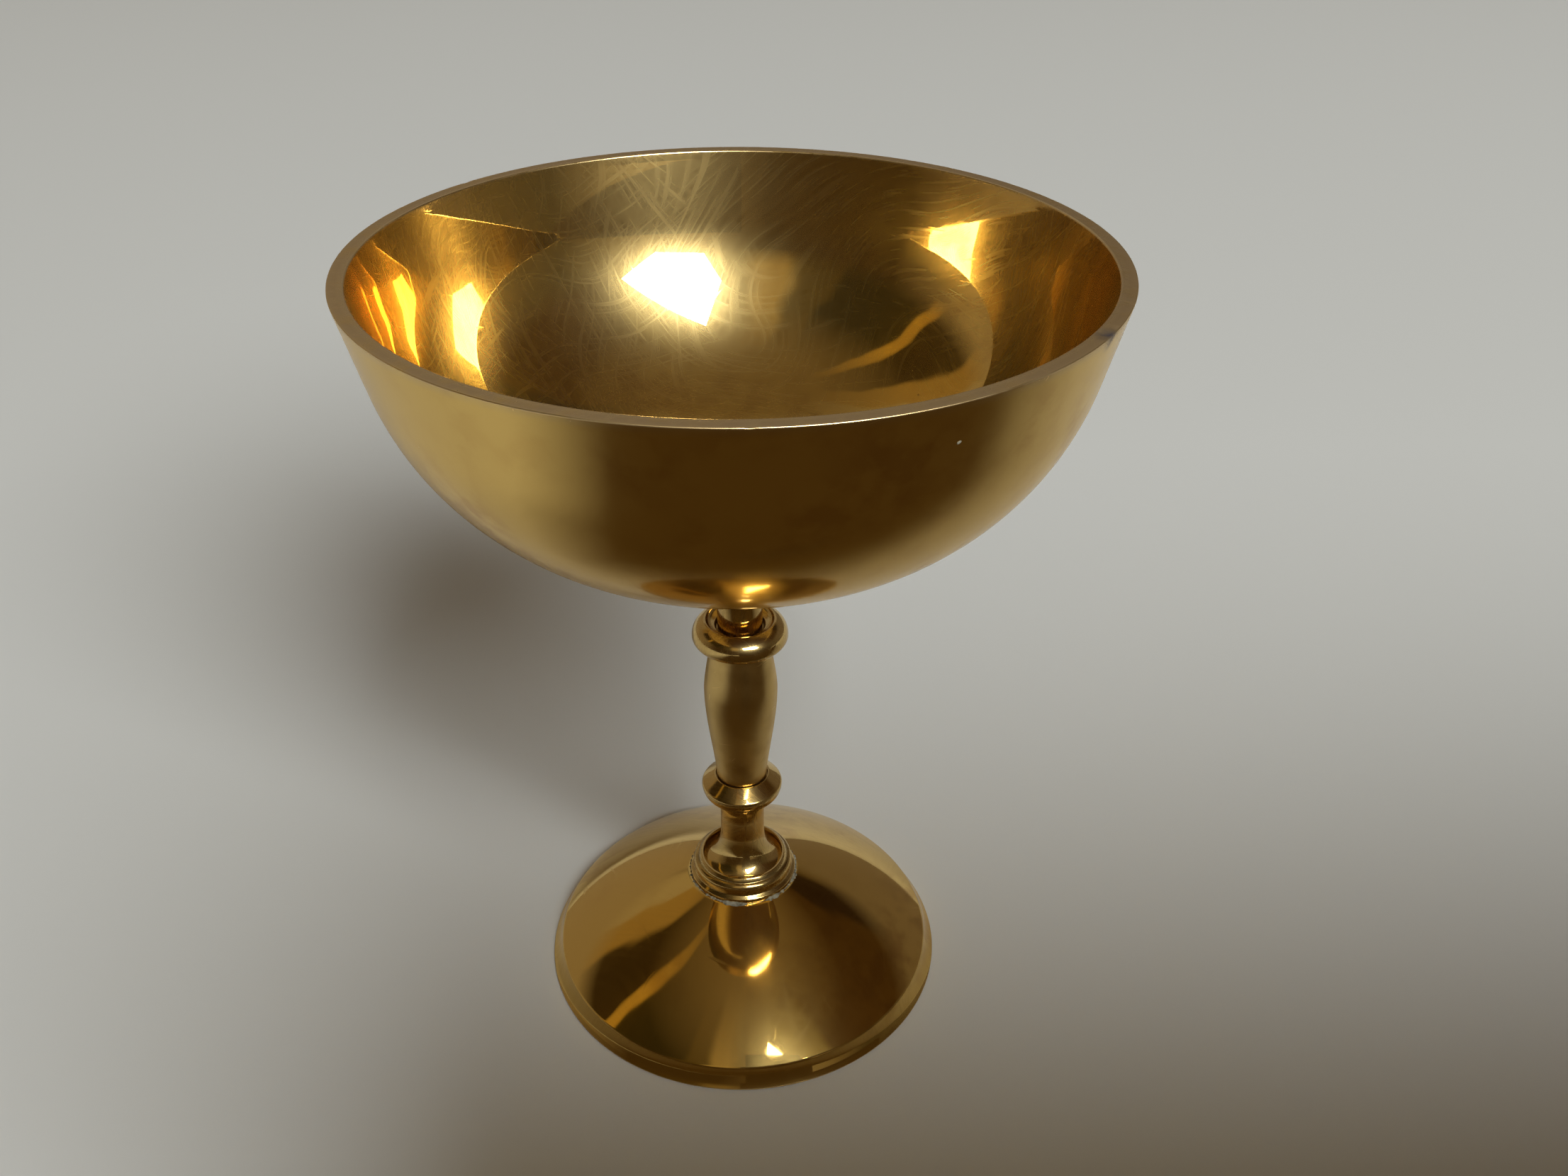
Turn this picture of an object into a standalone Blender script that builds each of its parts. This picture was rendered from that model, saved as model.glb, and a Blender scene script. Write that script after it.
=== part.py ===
"""Ciborium vessel: an open gilt-brass bowl on a turned stem and a spun round foot.

The stem is a stack of turned pieces on one threaded tie rod. The rod screws into a boss soldered
under the bowl and is drawn tight by a nut inside the hollow foot. Every piece is a turned shape
about +Z. Heights and radii below are in millimetres, measured from the plane the foot stands on.
"""

import math

import bmesh
import bpy
from mathutils import Vector

MM = 0.001
GAP = 0.3  # left between pieces that touch on the real vessel
SHARP_EDGE = 35.0  # degrees; a fold tighter than this is drawn as a crease

# Bowl: a flared wall, then a tight haunch arc, then a flatter arc across the bottom.
HEIGHT = 152.9
RIM_RADIUS = 63.5
BOWL_WALL = 2.6
WALL_TAPER = 13.9  # degrees from vertical
WALL_DROP = 13.7
HAUNCH_RADIUS = 47.3
BOWL_BOTTOM = 100.9

# Tie rod and its fasteners.
ROD_RADIUS = 2.5
ROD_BORE = ROD_RADIUS + GAP
ROD_BOTTOM = 8.9
ROD_TOP = 96.6
ROD_CHAMFER = 0.5
WASHER_RADIUS = 9.0
WASHER_THICK = 1.2
LOCK_RADIUS = 4.6
LOCK_THICK = 1.2
LOCK_SWEEP = 345.0  # degrees of ring left beside the split
NUT_FLATS = 8.0
NUT_HEIGHT = 4.0
NUT_CHAMFER = 0.1  # the turned face is this much smaller in radius than the flats

# Foot: a low dome of even wall with a heavier edge that flares to the table.
FOOT_RADIUS = 40.94
FOOT_WALL = 1.8
FOOT_TOP = 20.0
FOOT_SEAT_RADIUS = 11.3
FOOT_CONTROL = (28.8, 11.8)  # where the dome's two end tangents cross
ARRIS_RADIUS = 38.85
ARRIS_HEIGHT = 3.96
FOOT_BAND_CONTROL = (39.55, 1.7)  # pulls the edge band into its slight hollow
FOOT_EDGE_WIDTH = 3.2
FOOT_EDGE_ROUND = 0.3
FOOT_EDGE_HEIGHT = 2.2  # straight inner side of the heavy edge
FOOT_INSIDE_CONTROL = (27.6, 10.0)
FOOT_INSIDE_SEAT = 10.5  # radius of the flat that the washer bears on

# Base collar: a stepped ring that hides the joint of foot and stem.
COLLAR_TOP = 24.85
COLLAR_RADIUS = 10.2
COLLAR_BASE_RADIUS = 10.9
COLLAR_LIP_RADIUS = 8.6
COLLAR_LIP_FOOT = (9.1, 24.3)  # where the lip meets the round moulding
COLLAR_MOULDING = 1.2  # radius of the round moulding
COLLAR_MOULDING_HEIGHT = 22.8
COLLAR_SKIRT_TOP = 21.6
COLLAR_SKIRT_STEP = 21.0
COLLAR_RECESS_RADIUS = 8.2
COLLAR_RECESS_FLOOR = 22.4

# Lower neck: a trumpet between the collar and the lower knop.
NECK_RADIUS = 4.42
NECK_FLARE_RADIUS = COLLAR_RECESS_RADIUS - GAP
NECK_TOP_RADIUS = 5.2
NECK_TOP_BEND = 1.2  # the top spreads over this depth,
NECK_TOP_DEPTH = 4.6  # and is straight below this one
NECK_FLARE_TOP = 31.5
NECK_FLARE_BEND = 27.6
NECK_FLARE_CONTROL = (5.9, 25.0)
NECK_FLARE_FOOT = 23.95

# Lower knop: a thin double cone with a tight round edge.
LOWER_KNOP_BOTTOM = 39.9
LOWER_KNOP_TOP = 45.9
LOWER_KNOP_RADIUS = 8.04
LOWER_KNOP_WAIST = 43.4  # height of the widest place
LOWER_KNOP_UNDER = 41.2  # the underside stays full down to about here
LOWER_KNOP_EDGE = 0.8  # radius of the round edge
LOWER_KNOP_EDGE_SWEEP = 50.0
LOWER_KNOP_BASE_RADIUS = 5.4
LOWER_KNOP_LIP_RADIUS = 5.45
LOWER_KNOP_RECESS = 5.2
LOWER_KNOP_FLOOR = 45.0

# Baluster: a long vase, fullest above its middle.
BALUSTER_FOOT_RADIUS = LOWER_KNOP_RECESS - GAP
BALUSTER_BELLY_RADIUS = 7.1
BALUSTER_BELLY = 67.0
BALUSTER_HEAD_RADIUS = 5.5
BALUSTER_LOWER_CONTROLS = ((5.1, 51.0), (7.1, 59.0))
BALUSTER_SHOULDER = 69.5

# Upper knop: a fuller bead with a dished top.
UPPER_KNOP_BOTTOM = 77.0
UPPER_KNOP_TOP = 82.9
UPPER_KNOP_RADIUS = 9.1
UPPER_KNOP_WAIST = 79.4  # height of the widest place
UPPER_KNOP_UNDER = 77.9
UPPER_KNOP_SHOULDER = 81.6
UPPER_KNOP_LIP = 0.35  # flat ring under the knop, round the baluster's head
UPPER_KNOP_ARRIS = 6.85
UPPER_KNOP_LAND = 0.4  # flat ring on top, outside the dish
UPPER_KNOP_DISH_CONTROL = (6.15, 81.8)
UPPER_KNOP_CEILING = 78.2
UPPER_KNOP_DISH_RADIUS = 4.8
UPPER_KNOP_DISH = 81.7
UPPER_KNOP_FLOOR = 80.9

# Boss: the upper neck, spreading to a flange that is soldered to the bowl.
BOSS_NECK_RADIUS = 4.25
BOSS_NECK_TOP = 85.9  # the neck is straight up to here,
BOSS_NECK_BEND = 90.9  # and spreads above here
BOSS_FLANGE_RADIUS = 9.2
BOSS_FLANGE_EDGE = 1.3
BOSS_FLARE_RADIUS = 8.0
BOSS_FLARE_CONTROL = (5.8, 1.6)  # a radius, and a depth below the flange's edge
BOSS_BORE_TOP = 97.2

# Facets: turned pieces are made of this many flat sides.
BOWL_SIDES = 56
FOOT_SIDES = 48
STEM_SIDES = 32
ROD_SIDES = 20


def clear_scene():
    for item in list(bpy.data.objects):
        bpy.data.objects.remove(item, do_unlink=True)


def brass(name, color, roughness):
    """A polished metal; slot colours are linear."""
    material = bpy.data.materials.new(name)
    material.use_nodes = True
    shader = material.node_tree.nodes["Principled BSDF"]
    shader.inputs["Base Color"].default_value = (*color, 1.0)
    shader.inputs["Metallic"].default_value = 1.0
    shader.inputs["Roughness"].default_value = roughness
    material.diffuse_color = (*color, 1.0)
    return material


def arc(centre, radius, start, end, steps):
    """Points on a circle in the (radius, height) half-plane, from start to end in degrees."""
    angles = (math.radians(start + (end - start) * i / steps) for i in range(steps + 1))
    return [(centre[0] + radius * math.cos(a), centre[1] + radius * math.sin(a)) for a in angles]


def bezier(controls, steps):
    """Points on the Bezier curve with these control points, both ends included."""
    order = len(controls) - 1
    curve = []
    for i in range(steps + 1):
        t = i / steps
        weights = [math.comb(order, k) * t**k * (1 - t) ** (order - k) for k in range(order + 1)]
        curve.append(tuple(sum(w * c[axis] for w, c in zip(weights, controls)) for axis in (0, 1)))
    return curve


def outline_mesh(outline, closed):
    """A bmesh holding the outline as vertices and edges in the XZ plane."""
    mesh = bmesh.new()
    verts = [mesh.verts.new(Vector((r, 0.0, z)) * MM) for r, z in outline]
    for first, second in zip(verts, verts[1:]):
        mesh.edges.new((first, second))
    if closed:
        mesh.edges.new((verts[-1], verts[0]))
    return mesh


def add_object(name, mesh, material):
    """Puts the finished bmesh in the scene as one smooth-shaded object."""
    bmesh.ops.recalc_face_normals(mesh, faces=mesh.faces)
    data = bpy.data.meshes.new(name)
    mesh.to_mesh(data)
    mesh.free()
    data.materials.append(material)
    data.shade_smooth()
    data.set_sharp_from_angle(angle=math.radians(SHARP_EDGE))
    item = bpy.data.objects.new(name, data)
    bpy.context.scene.collection.objects.link(item)
    return item


def turn(name, outline, material, sides, closed=True):
    """A full turn of the outline about Z. An open outline starts and ends on the axis."""
    mesh = outline_mesh(outline, closed)
    bmesh.ops.spin(
        mesh,
        geom=mesh.verts[:] + mesh.edges[:],
        cent=(0, 0, 0),
        axis=(0, 0, 1),
        angle=math.tau,
        steps=sides,
        use_merge=True,
    )
    bmesh.ops.remove_doubles(mesh, verts=mesh.verts, dist=1e-7)
    return add_object(name, mesh, material)


def bowl_arcs():
    """(haunch centre, bottom radius, the angle where the two arcs meet, in degrees)."""
    taper = math.radians(WALL_TAPER)
    wall_end = (RIM_RADIUS - WALL_DROP * math.tan(taper), HEIGHT - WALL_DROP)
    haunch = (
        wall_end[0] - HAUNCH_RADIUS * math.cos(taper),
        wall_end[1] + HAUNCH_RADIUS * math.sin(taper),
    )
    lift = haunch[1] - BOWL_BOTTOM
    bottom_radius = (haunch[0] ** 2 + lift**2 - HAUNCH_RADIUS**2) / (2 * (lift - HAUNCH_RADIUS))
    meeting = math.degrees(math.atan2(lift - bottom_radius, haunch[0]))
    return haunch, bottom_radius, meeting


def bowl_skin(inset):
    """One face of the bowl from the rim to the axis, inset from the outer face."""
    haunch, bottom_radius, meeting = bowl_arcs()
    rim = (RIM_RADIUS - inset / math.cos(math.radians(WALL_TAPER)), HEIGHT)
    side = arc(haunch, HAUNCH_RADIUS - inset, -WALL_TAPER, meeting, 8)
    centre = (0.0, BOWL_BOTTOM + bottom_radius)
    bottom = arc(centre, bottom_radius - inset, meeting, -90.0, 4)
    return [rim] + side + bottom[1:-1] + [(0.0, BOWL_BOTTOM + inset)]


def make_bowl(material):
    outline = bowl_skin(0.0)[::-1] + bowl_skin(BOWL_WALL)
    turn("bowl", outline, material, BOWL_SIDES, closed=False)


def underside(radius):
    """Height of the bowl's outer face near the axis, less the joint gap."""
    bottom_radius = bowl_arcs()[1]
    return BOWL_BOTTOM + bottom_radius - math.sqrt(bottom_radius**2 - radius**2) - GAP


def make_boss(material):
    edge = underside(BOSS_FLANGE_RADIUS) - BOSS_FLANGE_EDGE
    flare = bezier(
        [
            (BOSS_NECK_RADIUS, BOSS_NECK_TOP),
            (BOSS_NECK_RADIUS, BOSS_NECK_BEND),
            (BOSS_FLARE_CONTROL[0], edge - BOSS_FLARE_CONTROL[1]),
            (BOSS_FLARE_RADIUS, edge),
        ],
        7,
    )
    flange = [(BOSS_FLANGE_RADIUS, edge), (BOSS_FLANGE_RADIUS, underside(BOSS_FLANGE_RADIUS))]
    crown = [(r, underside(r)) for r in (BOSS_FLANGE_RADIUS * 0.6, BOSS_FLANGE_RADIUS * 0.3)]
    spigot = [(BOSS_NECK_RADIUS, UPPER_KNOP_FLOOR + GAP)]
    bore = [(0.0, BOSS_BORE_TOP), (ROD_BORE, BOSS_BORE_TOP), (ROD_BORE, UPPER_KNOP_FLOOR + GAP)]
    outline = [(0.0, underside(0.0))] + crown[::-1] + flange[::-1] + flare[::-1] + spigot
    turn("bowl_boss", outline + bore[::-1], material, STEM_SIDES, closed=False)


def make_upper_knop(material):
    belly = (UPPER_KNOP_RADIUS, UPPER_KNOP_WAIST)
    lip = BALUSTER_HEAD_RADIUS + GAP
    start = (lip + UPPER_KNOP_LIP, UPPER_KNOP_BOTTOM)
    lower = bezier([start, (UPPER_KNOP_RADIUS, UPPER_KNOP_UNDER), belly], 5)
    arris = (UPPER_KNOP_ARRIS, UPPER_KNOP_TOP)
    upper = bezier([belly, (UPPER_KNOP_RADIUS, UPPER_KNOP_SHOULDER), arris], 5)
    land_end = (UPPER_KNOP_ARRIS - UPPER_KNOP_LAND, UPPER_KNOP_TOP)
    dish_end = (UPPER_KNOP_DISH_RADIUS, UPPER_KNOP_DISH)
    dish = bezier([land_end, UPPER_KNOP_DISH_CONTROL, dish_end], 4)
    socket = [(UPPER_KNOP_DISH_RADIUS, UPPER_KNOP_FLOOR), (ROD_BORE, UPPER_KNOP_FLOOR)]
    recess = [(ROD_BORE, UPPER_KNOP_CEILING), (lip, UPPER_KNOP_CEILING), (lip, UPPER_KNOP_BOTTOM)]
    outline = recess + lower + upper[1:] + dish + socket
    turn("upper_knop", outline, material, STEM_SIDES)


def make_baluster(material):
    top = UPPER_KNOP_CEILING - GAP
    bottom = LOWER_KNOP_FLOOR + GAP
    belly = (BALUSTER_BELLY_RADIUS, BALUSTER_BELLY)
    head = (BALUSTER_HEAD_RADIUS, top)
    lower = bezier([(BALUSTER_FOOT_RADIUS, bottom), *BALUSTER_LOWER_CONTROLS, belly], 10)
    upper = bezier([belly, (BALUSTER_BELLY_RADIUS, BALUSTER_SHOULDER), head], 5)
    outline = [(ROD_BORE, bottom)] + lower + upper[1:] + [(ROD_BORE, top)]
    turn("baluster", outline, material, STEM_SIDES)


def make_lower_knop(material):
    centre = (LOWER_KNOP_RADIUS - LOWER_KNOP_EDGE, LOWER_KNOP_WAIST)
    edge = arc(centre, LOWER_KNOP_EDGE, 0.0, LOWER_KNOP_EDGE_SWEEP, 3)
    belly = (LOWER_KNOP_RADIUS, LOWER_KNOP_WAIST)
    base = (LOWER_KNOP_BASE_RADIUS, LOWER_KNOP_BOTTOM)
    under = bezier([base, (LOWER_KNOP_RADIUS, LOWER_KNOP_UNDER), belly], 4)
    lip = [(LOWER_KNOP_LIP_RADIUS, LOWER_KNOP_TOP), (LOWER_KNOP_RECESS, LOWER_KNOP_TOP)]
    recess = [(LOWER_KNOP_RECESS, LOWER_KNOP_FLOOR), (ROD_BORE, LOWER_KNOP_FLOOR)]
    outline = [(ROD_BORE, LOWER_KNOP_BOTTOM)] + under + edge[1:] + lip + recess
    turn("lower_knop", outline, material, STEM_SIDES)


def make_lower_neck(material):
    top = LOWER_KNOP_BOTTOM - GAP
    bottom = COLLAR_RECESS_FLOOR + GAP
    bend = (NECK_RADIUS, top - NECK_TOP_BEND)
    upper = bezier([(NECK_TOP_RADIUS, top), bend, (NECK_RADIUS, top - NECK_TOP_DEPTH)], 4)
    flare = bezier(
        [
            (NECK_RADIUS, NECK_FLARE_TOP),
            (NECK_RADIUS, NECK_FLARE_BEND),
            NECK_FLARE_CONTROL,
            (NECK_FLARE_RADIUS, NECK_FLARE_FOOT),
        ],
        7,
    )
    outline = [(ROD_BORE, top)] + upper + flare + [(NECK_FLARE_RADIUS, bottom), (ROD_BORE, bottom)]
    turn("lower_neck", outline, material, STEM_SIDES)


def make_collar(material):
    bottom = FOOT_TOP + GAP
    lip = [(COLLAR_RECESS_RADIUS, COLLAR_TOP), (COLLAR_LIP_RADIUS, COLLAR_TOP), COLLAR_LIP_FOOT]
    centre = (COLLAR_RADIUS - COLLAR_MOULDING, COLLAR_MOULDING_HEIGHT)
    moulding = arc(centre, COLLAR_MOULDING, 80.0, 0.0, 4)
    skirt = [
        (COLLAR_RADIUS, COLLAR_SKIRT_TOP),
        (COLLAR_BASE_RADIUS, COLLAR_SKIRT_STEP),
        (COLLAR_BASE_RADIUS, bottom),
    ]
    recess = [(ROD_BORE, COLLAR_RECESS_FLOOR), (COLLAR_RECESS_RADIUS, COLLAR_RECESS_FLOOR)]
    outline = [(ROD_BORE, bottom)] + recess + lip + moulding + skirt
    turn("base_collar", outline, material, STEM_SIDES)


def make_foot(material):
    seat = (FOOT_SEAT_RADIUS, FOOT_TOP)
    dome = bezier([seat, FOOT_CONTROL, (ARRIS_RADIUS, ARRIS_HEIGHT)], 8)
    edge = (FOOT_RADIUS, FOOT_EDGE_ROUND)
    band = bezier([(ARRIS_RADIUS, ARRIS_HEIGHT), FOOT_BAND_CONTROL, edge], 4)
    inner_edge = (FOOT_RADIUS - FOOT_EDGE_WIDTH, 0.0)
    base = [(FOOT_RADIUS - FOOT_EDGE_ROUND, 0.0), inner_edge]
    inside_seat = (FOOT_INSIDE_SEAT, FOOT_TOP - FOOT_WALL)
    inside = bezier([(inner_edge[0], FOOT_EDGE_HEIGHT), FOOT_INSIDE_CONTROL, inside_seat], 8)
    outline = [(ROD_BORE, FOOT_TOP)] + dome + band[1:] + base + inside
    turn("foot", outline + [(ROD_BORE, inside_seat[1])], material, FOOT_SIDES)


def make_rod(material):
    tip = ROD_RADIUS - ROD_CHAMFER
    lower = [(0.0, ROD_BOTTOM), (tip, ROD_BOTTOM), (ROD_RADIUS, ROD_BOTTOM + ROD_CHAMFER)]
    upper = [(ROD_RADIUS, ROD_TOP - ROD_CHAMFER), (tip, ROD_TOP), (0.0, ROD_TOP)]
    turn("tie_rod", lower + upper, material, ROD_SIDES, closed=False)


def plain_ring(inner, outer, top, thick):
    return [(inner, top), (outer, top), (outer, top - thick), (inner, top - thick)]


def make_washer(material, top):
    outline = plain_ring(ROD_BORE, WASHER_RADIUS, top, WASHER_THICK)
    turn("foot_washer", outline, material, STEM_SIDES)


def make_lock_washer(material, top):
    """A ring split in one place: its section is spun short of a full turn and its ends closed."""
    mesh = outline_mesh(plain_ring(ROD_BORE, LOCK_RADIUS, top, LOCK_THICK), closed=True)
    start = bmesh.ops.contextual_create(mesh, geom=mesh.edges[:])["faces"]
    bmesh.ops.spin(
        mesh,
        geom=start,
        cent=(0, 0, 0),
        axis=(0, 0, 1),
        angle=math.radians(LOCK_SWEEP),
        steps=ROD_SIDES,
    )
    add_object("lock_washer", mesh, material)


def make_nut(material, top):
    """A hexagon prism whose corners are turned off by a cone, with the rod's hole through it."""
    mesh = bmesh.new()
    corner = NUT_FLATS / 2 / math.cos(math.radians(30))
    bmesh.ops.create_cone(
        mesh,
        cap_ends=True,
        segments=6,
        radius1=corner * MM,
        radius2=corner * MM,
        depth=NUT_HEIGHT * MM,
    )
    bmesh.ops.translate(mesh, verts=mesh.verts, vec=(0, 0, (top - NUT_HEIGHT / 2) * MM))
    nut = add_object("rod_nut", mesh, material)
    low = top - NUT_HEIGHT
    face = NUT_FLATS / 2 - NUT_CHAMFER
    cut_back = (corner - face) * math.tan(math.radians(30))
    chamfer = [(0.0, low), (face, low), (corner, low + cut_back)]
    chamfer += [(corner, top - cut_back), (face, top), (0.0, top)]
    hole = [(0.0, low - 1.0), (ROD_BORE, low - 1.0), (ROD_BORE, top + 1.0), (0.0, top + 1.0)]
    for name, outline, operation in (
        ("nut_chamfer", chamfer, "INTERSECT"),
        ("nut_hole", hole, "DIFFERENCE"),
    ):
        cutter = turn(name, outline, material, ROD_SIDES, closed=False)
        cutter.hide_render = True
        cutter.display_type = "WIRE"
        cut = nut.modifiers.new(name, "BOOLEAN")
        cut.operation = operation
        cut.object = cutter


def main():
    clear_scene()
    gilt = brass("gilt_brass", (0.83, 0.60, 0.22), 0.14)
    bronze = brass("stem_brass", (0.70, 0.50, 0.24), 0.2)
    steel = brass("plated_steel", (0.56, 0.57, 0.58), 0.35)
    make_bowl(gilt)
    make_boss(bronze)
    make_upper_knop(bronze)
    make_baluster(bronze)
    make_lower_knop(bronze)
    make_lower_neck(bronze)
    make_collar(bronze)
    make_foot(gilt)
    make_rod(steel)
    washer_top = FOOT_TOP - FOOT_WALL - GAP
    lock_top = washer_top - WASHER_THICK - GAP
    make_washer(steel, washer_top)
    make_lock_washer(steel, lock_top)
    make_nut(steel, lock_top - LOCK_THICK - GAP)


main()
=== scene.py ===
"""Looks of the ciborium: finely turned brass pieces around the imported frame, on a pale floor.

Each piece is made again from the same driving dimensions as the CAD model, with its arrises
eased, its joints closed and its wear added, and replaces its CAD node. Only the dried polish has
no node. Lengths are in millimetres until MM turns them into metres.
"""

import math

import bpy
import numpy as np
from mathutils import Matrix, Vector, noise


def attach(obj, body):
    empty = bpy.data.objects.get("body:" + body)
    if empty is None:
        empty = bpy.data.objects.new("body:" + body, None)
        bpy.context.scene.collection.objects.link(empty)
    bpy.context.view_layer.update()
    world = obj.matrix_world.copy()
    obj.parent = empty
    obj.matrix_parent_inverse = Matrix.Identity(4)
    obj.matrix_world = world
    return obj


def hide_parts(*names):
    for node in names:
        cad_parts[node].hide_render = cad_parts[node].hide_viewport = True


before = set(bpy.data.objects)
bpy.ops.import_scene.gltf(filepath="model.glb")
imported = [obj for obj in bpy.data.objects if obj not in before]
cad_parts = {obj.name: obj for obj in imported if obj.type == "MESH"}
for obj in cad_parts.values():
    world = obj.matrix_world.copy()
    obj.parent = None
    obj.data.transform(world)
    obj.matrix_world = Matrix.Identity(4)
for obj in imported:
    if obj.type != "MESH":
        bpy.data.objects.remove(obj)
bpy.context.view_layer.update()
scene = bpy.context.scene

MM = 0.001
FIT = 0.04  # clearance left in each joint, so that it reads as a fine dark line
ARRIS = 0.22  # how far a turned arris is eased back
SUPPORT = 0.06  # width of the flat strip that holds the shading beside an eased arris
FOLD = 24.0  # degrees; a sharper bend in an outline is an arris
SPACING = 1.0  # longest straight step along a turned outline
BEND_START = 6.0  # degrees; the bend where wear and grime begin to gather
BEND_RANGE = 8.0  # degrees more until they are at their strongest
WEAR_REACH = 0.3  # how far wear spreads from an arris
GRIME_REACH = 1.1  # how far grime spreads from a hollow corner

# Driving dimensions, as in the CAD model.
HEIGHT = 152.9
RIM_RADIUS = 63.5
BOWL_WALL = 2.6
WALL_TAPER = 13.9
WALL_DROP = 13.7
HAUNCH_RADIUS = 47.3
BOWL_BOTTOM = 100.9

ROD_RADIUS = 2.5
ROD_BORE = 2.8
ROD_BOTTOM = 8.9
ROD_TOP = 96.6
WASHER_RADIUS = 9.0
WASHER_THICK = 1.2
LOCK_RADIUS = 4.6
LOCK_THICK = 1.2
LOCK_SWEEP = 345.0
NUT_FLATS = 8.0
NUT_HEIGHT = 4.0
THREAD_PITCH = 0.8
THREAD_DEPTH = 0.42
THREAD_END = 20.0  # the rod is threaded from its lower end up to here
THREAD_CORE = 1.6  # nearer the axis than this, the rod's end face isn't cut
ROD_CHAMFER = 0.5
LOCK_SPRING = 0.12  # how far each end of the lock washer is sprung up or down
LOCK_STEPS = 96
NUT_FACE_LAND = 0.1  # how much smaller the nut's round end face is than its flats
NUT_SINK = 0.35

FOOT_RADIUS = 40.94
FOOT_WALL = 1.8
FOOT_TOP = 20.0
FOOT_SEAT_RADIUS = 11.3
FOOT_CONTROL = (28.8, 11.8)
ARRIS_RADIUS = 38.85
ARRIS_HEIGHT = 3.96
FOOT_BAND_CONTROL = (39.55, 1.7)
FOOT_EDGE_WIDTH = 3.2
FOOT_EDGE_ROUND = 0.3
FOOT_EDGE_HEIGHT = 2.2
FOOT_INSIDE_CONTROL = (27.6, 10.0)
FOOT_INSIDE_SEAT = 10.5

COLLAR_TOP = 24.85
COLLAR_RADIUS = 10.2
COLLAR_BASE_RADIUS = 10.9
COLLAR_LIP_RADIUS = 8.6
COLLAR_LIP_FOOT = (9.1, 24.3)
COLLAR_MOULDING = 1.2
COLLAR_MOULDING_HEIGHT = 22.8
COLLAR_SKIRT_TOP = 21.6
COLLAR_SKIRT_STEP = 21.0
COLLAR_RECESS_RADIUS = 8.2
COLLAR_RECESS_FLOOR = 22.4

NECK_RADIUS = 4.42
NECK_TOP_RADIUS = 5.2
NECK_TOP_BEND = 1.2
NECK_TOP_DEPTH = 4.6
NECK_FLARE_TOP = 31.5
NECK_FLARE_BEND = 27.6
NECK_FLARE_CONTROL = (5.9, 25.0)
NECK_FLARE_FOOT = 23.95

LOWER_KNOP_BOTTOM = 39.9
LOWER_KNOP_TOP = 45.9
LOWER_KNOP_RADIUS = 8.04
LOWER_KNOP_WAIST = 43.4
LOWER_KNOP_UNDER = 41.2
LOWER_KNOP_EDGE = 0.8
LOWER_KNOP_EDGE_SWEEP = 50.0
LOWER_KNOP_BASE_RADIUS = 5.4
LOWER_KNOP_LIP_RADIUS = 5.45
LOWER_KNOP_RECESS = 5.2
LOWER_KNOP_FLOOR = 45.0

BALUSTER_FOOT_RADIUS = 4.95
BALUSTER_BELLY_RADIUS = 7.1
BALUSTER_BELLY = 67.0
BALUSTER_HEAD_RADIUS = 5.5
BALUSTER_LOWER_CONTROLS = ((5.1, 51.0), (7.1, 59.0))
BALUSTER_SHOULDER = 69.5
BALUSTER_HAZE = 1.6  # how much more satin it is than the bowl's outside

UPPER_KNOP_BOTTOM = 77.0
UPPER_KNOP_TOP = 82.9
UPPER_KNOP_RADIUS = 9.1
UPPER_KNOP_WAIST = 79.4
UPPER_KNOP_UNDER = 77.9
UPPER_KNOP_SHOULDER = 81.6
UPPER_KNOP_LIP = 0.35
UPPER_KNOP_ARRIS = 6.85
UPPER_KNOP_LAND = 0.4
UPPER_KNOP_CEILING = 78.2
UPPER_KNOP_DISH_RADIUS = 4.8
UPPER_KNOP_DISH = 81.7
UPPER_KNOP_DISH_CONTROL = (6.15, 81.8)
UPPER_KNOP_FLOOR = 80.9

BOSS_NECK_RADIUS = 4.25
BOSS_NECK_TOP = 85.9
BOSS_NECK_BEND = 90.9
BOSS_FLANGE_RADIUS = 9.2
BOSS_FLANGE_EDGE = 1.3
BOSS_FLARE_RADIUS = 8.0
BOSS_FLARE_CONTROL = (5.8, 1.6)
BOSS_BORE_TOP = 97.2

BOWL_SIDES = 512
FOOT_SIDES = 320
STEM_SIDES = 160
ROD_SIDES = 72

BOWL_SPACING = 1.3  # longest straight step along the bowl's outline
FOOT_SPACING = 0.6  # and along the foot's
WIDE_ARRIS = 0.3  # how far the arrises of the bowl and the foot are eased back

# Knocks on the rim: azimuth in degrees from +X, then the radius, reach and depth of each dent.
RIM_DENTS = (
    (-33.4, 62.6, 1.7, 0.28),
    (-31.2, 63.4, 1.0, 0.22),
    (-88.8, 63.3, 0.7, 0.16),
    (141.0, 63.4, 0.8, 0.14),
)
DENT_IN = 0.55  # which way a knock pushes the rim: this far inwards
DENT_DOWN = 0.83  # and this far down
BRUISE_STRENGTH = 1.25  # the darkening at the first dent, before it fades out
BRUISE_FADE = 2.4  # the distance in which it falls by one
RIM_LAND = 0.5  # the rim is worn from this far below its top
RIM_LAND_FADE = 0.3

# The crust of dried polish in the corner over the foot: (outwards, up) from the corner.
CRUST = ((0.0, -0.1), (0.75, -0.1), (0.55, 0.16), (0.2, 0.4), (0.0, 0.55))
CRUST_OVERLAP = 0.05
# The fleck of it on the bowl.
FLECK_AZIMUTH = -62.0
FLECK_HEIGHT = 146.2
FLECK_SIZE = 0.36
FLECK_RISE = 0.12
FLECK_SIDES = 14


# ---- outlines


def arc(centre, radius, start, end, step=2.0):
    """Points on a circle in the (radius, height) half-plane, from start to end in degrees."""
    steps = max(2, math.ceil(abs(end - start) / step))
    angles = (math.radians(start + (end - start) * i / steps) for i in range(steps + 1))
    return [(centre[0] + radius * math.cos(a), centre[1] + radius * math.sin(a)) for a in angles]


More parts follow.
